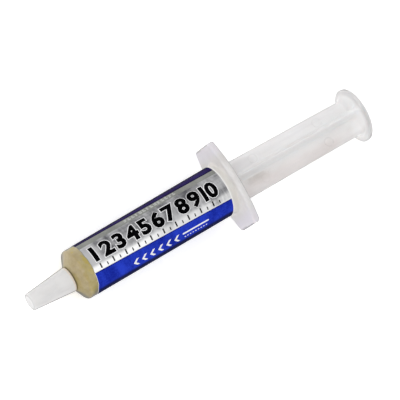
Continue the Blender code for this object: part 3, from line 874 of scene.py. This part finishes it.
def build_label(materials):
    s = Skin()
    # Stations round the tube: the fields' edges, with steps of about two degrees between.
    stations = []
    for (f0, b0, name), (f1, b1, _) in zip(FIELDS, FIELDS[1:]):
        steps = max(1, round((f1 - f0) / 2.0))
        for i in range(steps):
            stations.append((lerp(f0, f1, i / steps), lerp(b0, b1, i / steps), name))
    stations.append((SEAM, SEAM, "silver"))
    # The last few degrees lie over the film's own start.
    lap = 11
    for i in range(1, lap + 1):
        stations.append((SEAM + i * 2.0, SEAM + i * 2.0, "silver"))

    margin, back_margin = 0.12, 0.42
    xs = [LABEL_FRONT_X, LABEL_FRONT_X + margin]
    count = 96
    for i in range(1, count):
        xs.append(
            lerp(LABEL_FRONT_X + margin, LABEL_BACK_X - back_margin, i / count)
        )
    xs += [LABEL_BACK_X - back_margin, LABEL_BACK_X]

    def lift(index, degrees):
        """The lap climbs over the start of the film."""
        return 0.05 * smooth((degrees - SEAM + 3.0) / 5.0)

    def column(index, front, back, thick):
        points = []
        for x in xs:
            d = skewed(front, back, x)
            at = askew(x, d) + uneven(x, d)
            r = label_height(at, d) + lift(index, d) - thick
            points.append(around_point(at, d, r))
        return points

    outer, inner = [], []
    for i, (front, back, _) in enumerate(stations):
        outer.append(s.ring(column(i, front, back, 0.0)))
    for i, (front, back, _) in enumerate(stations):
        inner.append(s.ring(column(i, front, back, 0.042)))
    last = len(xs) - 2
    for i in range(len(stations) - 1):
        name = stations[i][2]
        field = SLOT[name]

        def slot(k, field=field):
            if k == 0:
                return SLOT["margin" if field == SLOT["blue"] else "grey"]
            return SLOT["margin"] if k == last else field

        s.join(outer[i], outer[i + 1], slot, closed=False)
        s.join(inner[i], inner[i + 1], SLOT["margin"], closed=False)
        for k in (0, len(xs) - 1):
            s.face(
                (outer[i][k], outer[i + 1][k], inner[i + 1][k], inner[i][k]),
                SLOT["margin"],
            )
    for o, n in ((outer[0], inner[0]), (outer[-1], inner[-1])):
        for k in range(len(xs) - 1):
            s.face((o[k], o[k + 1], n[k + 1], n[k]), SLOT["margin"])
    return piece(
        "label_film",
        s.bmesh(),
        materials,
        LAY,
        "barrel",
        ["label"],
        angle=50,
    )


class Print:
    """Flat shapes in (along, across) millimetres, wrapped on the label as thin ink."""

    def __init__(self):
        self.bm = bmesh.new()

    def polygon(self, points):
        verts = [self.bm.verts.new((x, y, 0)) for x, y in points]
        self.bm.faces.new(verts)

    def bar(self, x0, x1, y0, y1, round_by=0.0):
        if round_by <= 0:
            self.polygon([(x0, y0), (x1, y0), (x1, y1), (x0, y1)])
            return
        points = []
        for cx, cy, start in (
            (x1 - round_by, y0 + round_by, -90),
            (x1 - round_by, y1 - round_by, 0),
            (x0 + round_by, y1 - round_by, 90),
            (x0 + round_by, y0 + round_by, 180),
        ):
            for i in range(5):
                a = math.radians(start + 90 * i / 4)
                points.append((cx + round_by * math.cos(a), cy + round_by * math.sin(a)))
        self.polygon(points)

    def numeral(self, text, x, y, size, swell, fine, narrow=1.0, gap=1.0, turned=False):
        """A plain number centred on (x, y), its strokes swollen by that much."""
        curve = bpy.data.curves.new("numeral", "FONT")
        curve.body = text
        curve.size = size
        curve.offset = swell
        curve.resolution_u = fine
        curve.fill_mode = "FRONT"
        curve.space_character = gap
        obj = bpy.data.objects.new("numeral", curve)
        bpy.context.scene.collection.objects.link(obj)
        bpy.context.view_layer.update()
        dg = bpy.context.evaluated_depsgraph_get()
        mesh = bpy.data.meshes.new_from_object(obj.evaluated_get(dg))
        xs = [v.co.x for v in mesh.vertices]
        ys = [v.co.y for v in mesh.vertices]
        cx, cy = (min(xs) + max(xs)) / 2, (min(ys) + max(ys)) / 2
        mesh.transform(
            Matrix.Translation((x, y, 0))
            @ Matrix.Rotation(math.pi if turned else 0.0, 4, "Z")
            @ Matrix.Diagonal((narrow, 1, 1, 1))
            @ Matrix.Translation((-cx, -cy, 0))
        )
        self.bm.from_mesh(mesh)
        bpy.data.objects.remove(obj)
        bpy.data.curves.remove(curve)
        bpy.data.meshes.remove(mesh)

    def wrap(self, name, material, lift, front, back):
        """Wraps the shapes. Across is measured from the skewed line front to back."""
        bm = self.bm
        bmesh.ops.remove_doubles(bm, verts=bm.verts, dist=0.0005)
        ys = [v.co.y for v in bm.verts]
        y, step = min(ys), 0.35
        while y < max(ys):
            geom = bm.verts[:] + bm.edges[:] + bm.faces[:]
            bmesh.ops.bisect_plane(
                bm, geom=geom, dist=1e-5, plane_co=(0, y, 0), plane_no=(0, 1, 0)
            )
            y += step
        bmesh.ops.triangulate(bm, faces=bm.faces)
        top = bm.faces[:]
        made = bmesh.ops.extrude_face_region(bm, geom=top)
        upper = set(v for v in made["geom"] if isinstance(v, bmesh.types.BMVert))
        for v in bm.verts:
            x, across = v.co.x, v.co.y
            d = skewed(front, back, x) - math.degrees(across / 9.1)
            r = label_height(x, d) + (lift if v in upper else -0.02)
            v.co = Vector(around_point(x, d, r)) * MM
        return piece(
            name, bm, [material], LAY, "barrel", angle=30
        )


def build_print(black, halo, white, pale):
    """A plain volume scale, arrow marks on the blue field and dashes on the grey one."""
    ml = 5.035  # the piston's travel for one millilitre
    zero = BORE_FRONT_X
    made = []
    # Numbers stand on the silver field. Across 0 is the field's edge with the blue.
    low, high = Print(), Print()
    for value in range(1, 11):
        x = zero + value * ml
        # The last number has two figures, set closer and a little to the right.
        last = value == 10
        narrow, gap, shift = (1.06, 0.80, 0.95) if last else (1.12, 1.0, 0.0)
        # The nine is a six turned round. The outline keeps clear of tight corners.
        text = "6" if value == 9 else str(value)
        swell = {3: 0.54, 6: 0.48, 8: 0.50, 9: 0.48}.get(value, 0.56)
        fine = 4 if value == 3 else 3
        low.numeral(text, x + shift, 5.77, 7.35, swell, fine, narrow, gap, value == 9)
        high.numeral(text, x + shift, 5.77, 7.35, 0.36, 3, narrow, gap, value == 9)
    made.append(low.wrap("label_number_outline", halo, 0.006, 17.4, 27.7))
    made.append(high.wrap("label_numbers", black, 0.014, 17.4, 27.7))
    ticks = Print()
    for half in range(2, 22):
        x = zero + half * ml / 2
        tall = 1.80 if half % 2 == 0 else 1.10
        wide = 0.25 if half % 2 == 0 else 0.19
        ticks.bar(x - wide, x + wide, 0.35, 0.35 + tall)
    made.append(ticks.wrap("label_ticks", black, 0.010, 17.6, 27.9))
    marks = Print()
    for i in range(6):
        x = -34.3 + 3.3 * i
        h, w, d = 1.35, 0.95, 1.35
        marks.polygon([(x, 0), (x + d, h), (x + d + w, h), (x + w, 0)])
        marks.polygon([(x, 0), (x + w, 0), (x + d + w, -h), (x + d, -h)])
    marks.bar(-14.2, -3.4, 0.35, 0.95, 0.28)
    for i in range(9):
        marks.bar(-13.6 + 1.1 * i, -13.1 + 1.1 * i, -1.1, -0.75, 0.0)
    made.append(marks.wrap("label_arrows", white, 0.008, 45.0, 51.0))
    dashes = Print()
    for i in range(14):
        x = -29.5 + 1.5 * i
        dashes.bar(x, x + (1.0 if i % 3 else 0.6), -0.60, -0.12)
        dashes.bar(x, x + (0.7 if i % 4 else 1.1), 0.12, 0.60)
    made.append(dashes.wrap("label_dashes", pale, 0.008, -54.2, -45.2))
    return made


# ---------------------------------------------------------------- paste


def build_paste(material):
    angles = even_angles(96)
    wet = 0.06  # the paste wets the wall, so its face lies just under the wall's
    back = PISTON_FRONT_X - 0.12

    s = Skin()
    nose = [
        (BORE_FRONT_X, BORE_R_FRONT - 1.2),
        (BORE_FRONT_X, BORE_R_FRONT + wet),
        (BORE_FRONT_X - 0.25, BORE_R_FRONT - 0.08 + wet),
        (BORE_FRONT_X - 0.47, BORE_R_FRONT - 0.30 + wet),
        (NOSE_FLAT_X + 1.28, 1.90 + wet),
        (NOSE_FLAT_X + 0.98, CHANNEL_R + 0.35 + wet),
        (NOSE_FLAT_X + 0.74, CHANNEL_R + 0.06 + wet),
        (NOSE_FLAT_X - 3.0, CHANNEL_R + wet),
        (NOZZLE_TIP_X + 0.25, CHANNEL_R + wet),
        (NOZZLE_TIP_X + 0.18, CHANNEL_R - 0.25),
    ]
    rings = [s.ring(circle(x, r, angles)) for x, r in nose]
    s.join_all(rings)
    s.fan(rings[0], (BORE_FRONT_X, 0, 0))
    s.fan(rings[-1], (NOZZLE_TIP_X + 0.12, 0, 0))
    first = piece(
        "paste_in_nose", s.bmesh(), [material], LAY, "barrel", ["flux_paste"]
    )

    s = Skin()
    bore = [(BORE_FRONT_X + 0.02, BORE_R_FRONT - 1.2)]
    for i in range(25):
        x = lerp(BORE_FRONT_X + 0.02, back, i / 24)
        bore.append((x, bore_r(x) - (0.02 if i else 0.0)))
    bore.append((back, bore_r(back) - 0.9))
    rings = [s.ring(circle(x, r, angles)) for x, r in bore]
    s.join_all(rings)
    s.fan(rings[0], (BORE_FRONT_X + 0.02, 0, 0))
    s.fan(rings[-1], (back, 0, 0))
    second = piece("paste_in_bore", s.bmesh(), [material], LAY, "barrel")
    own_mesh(second)
    return first, second


# ---------------------------------------------------------------- piston


def build_piston(material):
    angles = even_angles(96)
    s = Skin()
    reach = 0.20  # the ribs swell towards the bore's wall
    front, back = PISTON_FRONT_X, PISTON_BACK_X
    profile = [(back - 3.0, SOCKET_R - 0.25)]
    profile += [(back - 2.85, SOCKET_R - 0.15), (back - 2.4, SOCKET_MOUTH_R)]
    profile += [(back - 0.5, SOCKET_MOUTH_R)]
    profile += arc(back - 0.45, SOCKET_MOUTH_R + 0.45, 0.45, -90, 0, 5)
    profile += [(back, PISTON_R - 0.6)]
    profile += arc(back - 0.45, PISTON_R - 0.45 + reach * 0.4, 0.45, 0, 90, 5)
    profile += arc(back - 0.90, PISTON_R - 0.55 + reach, 0.55, 60, 150, 7)
    profile += [(back - 1.75, PISTON_WAIST_R + 0.12), (back - 2.05, PISTON_WAIST_R)]
    profile += [(lerp(back - 2.05, front + 2.25, t), PISTON_WAIST_R) for t in (0.3, 0.6)]
    profile += [(front + 2.25, PISTON_WAIST_R), (front + 1.9, PISTON_WAIST_R + 0.12)]
    profile += arc(front + 1.10, PISTON_R - 0.60 + reach, 0.60, 30, 140, 8)
    profile += [(front + 0.35, PISTON_R - 0.22), (front + 0.12, PISTON_R - 0.45)]
    profile += [(front, PISTON_R - 0.9), (front, 4.0)]
    rings = [s.ring(circle(x, r, angles)) for x, r in profile]
    s.join_all(rings)
    s.fan(rings[-1], (front, 0, 0))
    depth = front + 2.4
    deep = [
        s.ring(circle(depth, SOCKET_R - 0.5, angles)),
        s.ring(circle(depth + 0.15, SOCKET_R - 0.1, angles)),
        s.ring(circle(depth + 0.5, SOCKET_R, angles)),
        s.ring(circle(back - 3.2, SOCKET_R, angles)),
    ]
    s.join_all(deep)
    s.join(deep[-1], rings[0])
    s.fan(deep[0], (depth, 0, 0))
    return piece(
        "piston_seal", s.bmesh(), [material], LAY, "piston", ["piston"]
    )


# ---------------------------------------------------------------- plunger rod

def pin_dent(x, out, rib):
    depth = 0.0
    for mark_rib, mark_x, mark_out in PIN_MARKS:
        if mark_rib == rib:
            d = math.hypot(x - mark_x, out - mark_out)
            if d < PIN_R + 0.4:
                depth -= 0.10 * smooth((PIN_R - d) / 0.22 + 0.5)
                depth += 0.05 * math.exp(-(((d - PIN_R - 0.05) / 0.13) ** 2))
    return depth


def build_rod(plastic):
    lean = (
        Matrix.Translation((KNOB_X * MM, 0, 0))
        @ Matrix.Rotation(math.radians(ROD_LEAN_DEG), 4, "Z")
        @ Matrix.Rotation(math.radians(RIB_TURN_DEG), 4, "X")
        @ Matrix.Translation((-KNOB_X * MM, 0, 0))
    )
    s = Skin()

    front, back = COLLAR_BACK_X, THUMB_FRONT_X
    flare_r = 1.9
    xs = [front + 0.5 * (1 - math.cos(math.radians(90 * i / 5))) for i in range(6)]
    x = xs[-1]
    while x < back - flare_r - 0.05:
        near = min(abs(x - m[1]) for m in PIN_MARKS)
        x += 0.13 if near < PIN_R + 0.35 else 0.7
        xs.append(min(x, back - flare_r))
    xs += [back - flare_r * math.cos(math.radians(90 * i / 12)) for i in range(1, 13)]
    xs[-1] = back

    def outline(x):
        t = (x - front) / (back - front)
        tip = lerp(RIB_R_FRONT, RIB_R_BACK, t)
        to_disc = max(0.0, flare_r - (back - x))
        to_collar = max(0.0, 0.5 - (x - front))
        flare = flare_r - math.sqrt(max(0.0, flare_r**2 - to_disc**2))
        foot = 0.5 - math.sqrt(max(0.0, 0.5**2 - to_collar**2))
        tip += flare * 0.9 + foot * 0.25
        core = 0.76 + 0.8 * flare + foot  # half thickness at the axis
        edge = 0.62 + 0.8 * flare + foot  # half thickness at the free edge
        fillet, ease = 0.55, 0.46
        start = core + fillet
        points = []
        sides = 34
        for k in range(4):
            c, sn = math.cos(k * math.pi / 2), math.sin(k * math.pi / 2)

            def put(across, out):
                points.append((x, across * c + out * sn, out * c - across * sn))

            def half(out):
                return lerp(core, edge, (out - start) / (tip - start))

            # Up one face, round the free edge, down the other face, round the root.
            for i in range(sides + 1):
                out = lerp(start, tip - ease, i / sides)
                dent = pin_dent(x, out, k) if k == 1 else 0.0
                put(-half(out) - dent, out)
            for i in range(1, 5):
                a = math.radians(90 * i / 4)
                put(-edge + ease * (1 - math.cos(a)), tip - ease * (1 - math.sin(a)))
            for i in range(1, 4):
                put(lerp(-edge + ease, edge - ease, i / 4), tip)
            for i in range(4, 0, -1):
                a = math.radians(90 * i / 4)
                put(edge - ease * (1 - math.cos(a)), tip - ease * (1 - math.sin(a)))
            for i in range(sides, -1, -1):
                out = lerp(start, tip - ease, i / sides)
                dent = pin_dent(x, out, k) if k == 3 else 0.0
                put(half(out) + dent, out)
            for i in range(1, 12):
                a = math.radians(90 * i / 12)
                put(
                    core + fillet - fillet * math.cos(a),
                    core + fillet - fillet * math.sin(a),
                )
        return points

    stem = [s.ring(outline(x)) for x in xs]
    s.join_all(stem)

    def angles_of(ring):
        """Angles round the axis at which the stem's outline has its points."""
        return [math.atan2(s.points[i][1], s.points[i][2]) for i in ring]

    angles = angles_of(stem[0])

    knob_front, knob_back = PISTON_FRONT_X + 2.8, PISTON_BACK_X - 3.4
    profile = [(knob_front, 1.6)]
    profile += arc(knob_front + 0.9, KNOB_R - 0.9, 0.9, 180, 90, 7)
    profile += [(knob_back - 0.1, KNOB_R), (knob_back + 0.1, KNOB_R - 0.15)]
    profile += [(knob_back + 0.5, KNOB_NECK_R)]
    profile += arc(COLLAR_FRONT_X - 0.3, KNOB_NECK_R + 0.3, 0.3, -90, 0, 4)
    profile += [(COLLAR_FRONT_X, COLLAR_R - 0.3)]
    profile += arc(COLLAR_FRONT_X + 0.25, COLLAR_R - 0.25, 0.25, 180, 90, 4)
    profile += arc(COLLAR_BACK_X - 0.2, COLLAR_R - 0.2, 0.2, 90, 0, 3)
    rings = [s.ring(circle(x, r, angles)) for x, r in profile]
    s.join_all(rings)
    s.fan(rings[0], (knob_front, 0, 0))

    edge = 0.5
    disc = [(THUMB_FRONT_X, THUMB_R - 0.45)]
    disc += arc(THUMB_FRONT_X + 0.40, THUMB_R - 0.40, 0.40, 180, 90, 6)
    # The mould's parting line shows as a faint step on the rim.
    middle = THUMB_FRONT_X + 0.75
    disc += [(middle - 0.05, THUMB_R), (middle + 0.02, THUMB_R - 0.06)]
    disc += arc(THUMB_BACK_X - edge, THUMB_R - 0.06 - edge, edge, 90, 0, 7)
    disc += [(THUMB_BACK_X, 6.0), (THUMB_BACK_X, 1.5)]
    # The gate leaves a small dimple with a rough nub in the middle of the disc.
    disc += [(THUMB_BACK_X - 0.10, 1.30), (THUMB_BACK_X - 0.22, 1.05)]
    disc += [(THUMB_BACK_X - 0.22, 0.55), (THUMB_BACK_X - 0.12, 0.42)]
    angles = angles_of(stem[-1])
    disc_rings = [s.ring(circle(x, r, angles)) for x, r in disc]
    s.join_all(disc_rings)
    s.fan(disc_rings[-1], (THUMB_BACK_X - 0.09, 0, 0))
    s.join(rings[-1], stem[0])
    s.join(stem[-1], disc_rings[0])
    return piece(
        "plunger_stem",
        s.bmesh(),
        [plastic],
        LAY @ lean,
        "plunger_rod",
        ["plunger_rod"],
        angle=42,
    )


# ---------------------------------------------------------------- cap


def build_cap(plastic):
    angles = even_angles(128)
    s = Skin()
    tip_r, base_r = NOZZLE_TIP_R + 0.3, NOZZLE_BASE_R + 0.3

    def side(x):
        return lerp(
            CAP_TIP_R, CAP_BASE_R, (x - CAP_TIP_X - 0.55) / (CAP_BASE_X - CAP_TIP_X - 0.8)
        )

    # A flat end face with the gate's dimple, a rounded edge, the taper, the mouth.
    outer = [(CAP_TIP_X + 0.14, 0.25), (CAP_TIP_X + 0.12, 0.42)]
    outer += [(CAP_TIP_X + 0.05, 0.52), (CAP_TIP_X + 0.03, 0.70), (CAP_TIP_X + 0.02, 1.7)]
    outer += arc(CAP_TIP_X + 0.46, side(CAP_TIP_X + 0.6) - 0.48, 0.45, 178, 98, 9)
    for i in range(24):
        x = lerp(CAP_TIP_X + 0.75, CAP_BASE_X - 0.75, i / 23)
        outer.append((x, side(x)))
    for i in range(1, 6):
        x = lerp(CAP_BASE_X - 0.75, CAP_BASE_X - 0.30, i / 5)
        outer.append((x, side(x) + 0.0 * i))
    outer += arc(CAP_BASE_X - 0.28, CAP_BASE_R - 0.29, 0.28, 85, 0, 6)
    outer += [(CAP_BASE_X, base_r + 0.60)]
    outer += arc(CAP_BASE_X - 0.5, base_r + 0.5, 0.5, 0, -90, 5)
    outer += [
        (lerp(CAP_BASE_X - 1.0, NOZZLE_TIP_X, t), lerp(base_r, tip_r, t))
        for t in (0.0, 0.33, 0.66, 1.0)
    ]
    outer += [(NOZZLE_TIP_X - 1.3, tip_r - 0.15), (NOZZLE_TIP_X - 1.6, tip_r - 0.5)]
    rings = [s.ring(circle(x, max(r, 0.3), angles)) for x, r in outer]
    s.join_all(rings)
    s.fan(rings[0], (CAP_TIP_X + 0.06, 0, 0))
    s.fan(rings[-1], (NOZZLE_TIP_X - 1.65, 0, 0))
    return piece(
        "nozzle_cap", s.bmesh(), [plastic], LAY, "tip_cap", ["tip_cap"]
    )


# ---------------------------------------------------------------- light and camera


def build_stage():
    bm = bmesh.new()
    n, half = 24, 2.4
    grid = [
        [
            bm.verts.new((lerp(-half, half, i / n), lerp(-half, half, j / n), 0))
            for j in range(n + 1)
        ]
        for i in range(n + 1)
    ]
    for i in range(n):
        for j in range(n):
            bm.faces.new(
                (grid[i][j], grid[i + 1][j], grid[i + 1][j + 1], grid[i][j + 1])
            )
    mesh = bpy.data.meshes.new("floor")
    bm.to_mesh(mesh)
    bm.free()
    mesh.materials.append(floor_material())
    floor = bpy.data.objects.new("floor", mesh)
    bpy.context.scene.collection.objects.link(floor)
    floor.location.z = -0.00002

    world = bpy.data.worlds.new("studio")
    bpy.context.scene.world = world
    world.use_nodes = True
    nt = world.node_tree
    background = nt.nodes["Background"]
    where = nt.nodes.new("ShaderNodeTexCoord").outputs["Generated"]
    split = nt.nodes.new("ShaderNodeSeparateXYZ")
    nt.links.new(where, split.inputs[0])
    ramp = nt.nodes.new("ShaderNodeValToRGB")
    ramp.color_ramp.interpolation = "EASE"
    ramp.color_ramp.elements[0].position = 0.0
    ramp.color_ramp.elements[0].color = (0.72, 0.72, 0.73, 1)
    ramp.color_ramp.elements[1].position = 0.75
    ramp.color_ramp.elements[1].color = (1.0, 1.0, 1.0, 1)
    nt.links.new(split.outputs[2], ramp.inputs[0])
    nt.links.new(ramp.outputs[0], background.inputs[0])
    background.inputs[1].default_value = 0.95


def soft_light(name, position, target, size, power, colour=(1, 1, 1)):
    data = bpy.data.lights.new(name, "AREA")
    data.shape = "RECTANGLE"
    data.size, data.size_y = size
    data.energy = power
    data.color = colour
    lamp = bpy.data.objects.new(name, data)
    bpy.context.scene.collection.objects.link(lamp)
    lamp.location = position
    aim = Vector(target) - Vector(position)
    lamp.rotation_mode = "QUATERNION"
    lamp.rotation_quaternion = aim.to_track_quat("-Z", "Y")
    return lamp


def build_camera():
    """A long lens at the photograph's angle, about 69 degrees above the floor."""
    a, b, roll = math.radians(30.43), math.radians(21.27), math.radians(-1.7)
    along = Vector((math.cos(b) * math.cos(a), math.cos(b) * math.sin(a), -math.sin(b)))
    e1 = Vector((-math.sin(a), math.cos(a), 0))
    e2 = Vector((math.sin(b) * math.cos(a), math.sin(b) * math.sin(a), math.cos(b)))
    side = e1 * math.cos(roll) + e2 * math.sin(roll)
    rise = -e1 * math.sin(roll) + e2 * math.cos(roll)
    right, up, back = (Vector((along[i], side[i], rise[i])) for i in range(3))
    pixel = 0.3376
    place = pixel * (-1.159 * right + 1.723 * up + 3000 * back) * MM
    data = bpy.data.cameras.new("camera")
    data.sensor_width, data.lens = 36.0, 270.0
    data.clip_start, data.clip_end = 0.05, 20
    camera = bpy.data.objects.new("camera", data)
    bpy.context.scene.collection.objects.link(camera)
    turn = Matrix((right, up, back)).transposed().to_4x4()
    turn.translation = place
    camera.matrix_world = LAY @ turn
    bpy.context.scene.camera = camera
    return camera


def main():
    build_stage()
    build_camera()
    # Key from the far side and above, and a weaker fill that opens the near side.
    soft_light("key", (-0.75, 0.80, 1.10), (0, 0, 0), (0.9, 0.5), 2.0)
    soft_light("top", (-0.25, -0.15, 1.5), (0, 0, 0), (0.5, 0.22), 1.0)
    soft_light("fill", (-1.05, -0.60, 0.60), (0.03, 0, 0.01), (0.8, 0.6), 0.62)

    barrel = barrel_plastic()
    build_barrel(barrel)
    film = [
        silver_foil(),
        ink("navy_ink", (0.016, 0.010, 0.062), (0.028, 0.018, 0.105), 0.45, 0.01, 0.15, (0.003, 0.002, 0.010), (0.62, 0.88), (-63.0, -49.9)),
        ink("grey_ink", (0.195, 0.20, 0.185), (0.275, 0.28, 0.262), 0.42, 0.12),
        ink("blue_ink", (0.006, 0.016, 0.27), (0.021, 0.050, 0.54), 0.45, 0.01, 0.2, (0.001, 0.002, 0.032), (0.47, 0.63), (18.5, 28.8)),
        film_edge(),
    ]
    build_label(film)
    black = ink("black_ink", (0.0008, 0.0008, 0.001), (0.003, 0.003, 0.004), 0.55, 0.0, 0.1)
    white = ink("white_ink", (0.74, 0.74, 0.76), (0.86, 0.86, 0.87), 0.42, 0.2, 0.1)
    pale = ink("pale_ink", (0.42, 0.43, 0.41), (0.50, 0.51, 0.49), 0.42, 0.2, 0.1)
    halo = ink("outline_ink", (0.84, 0.84, 0.86), (0.95, 0.95, 0.96), 0.42, 0.2, 0.1)
    build_print(black, halo, white, pale)
    build_paste(paste_material())
    build_piston(seal_material())
    build_rod(rod_plastic())
    build_cap(cap_plastic())

    scene = bpy.context.scene
    scene.view_settings.view_transform = "Standard"
    scene.view_settings.look = "None"


main()
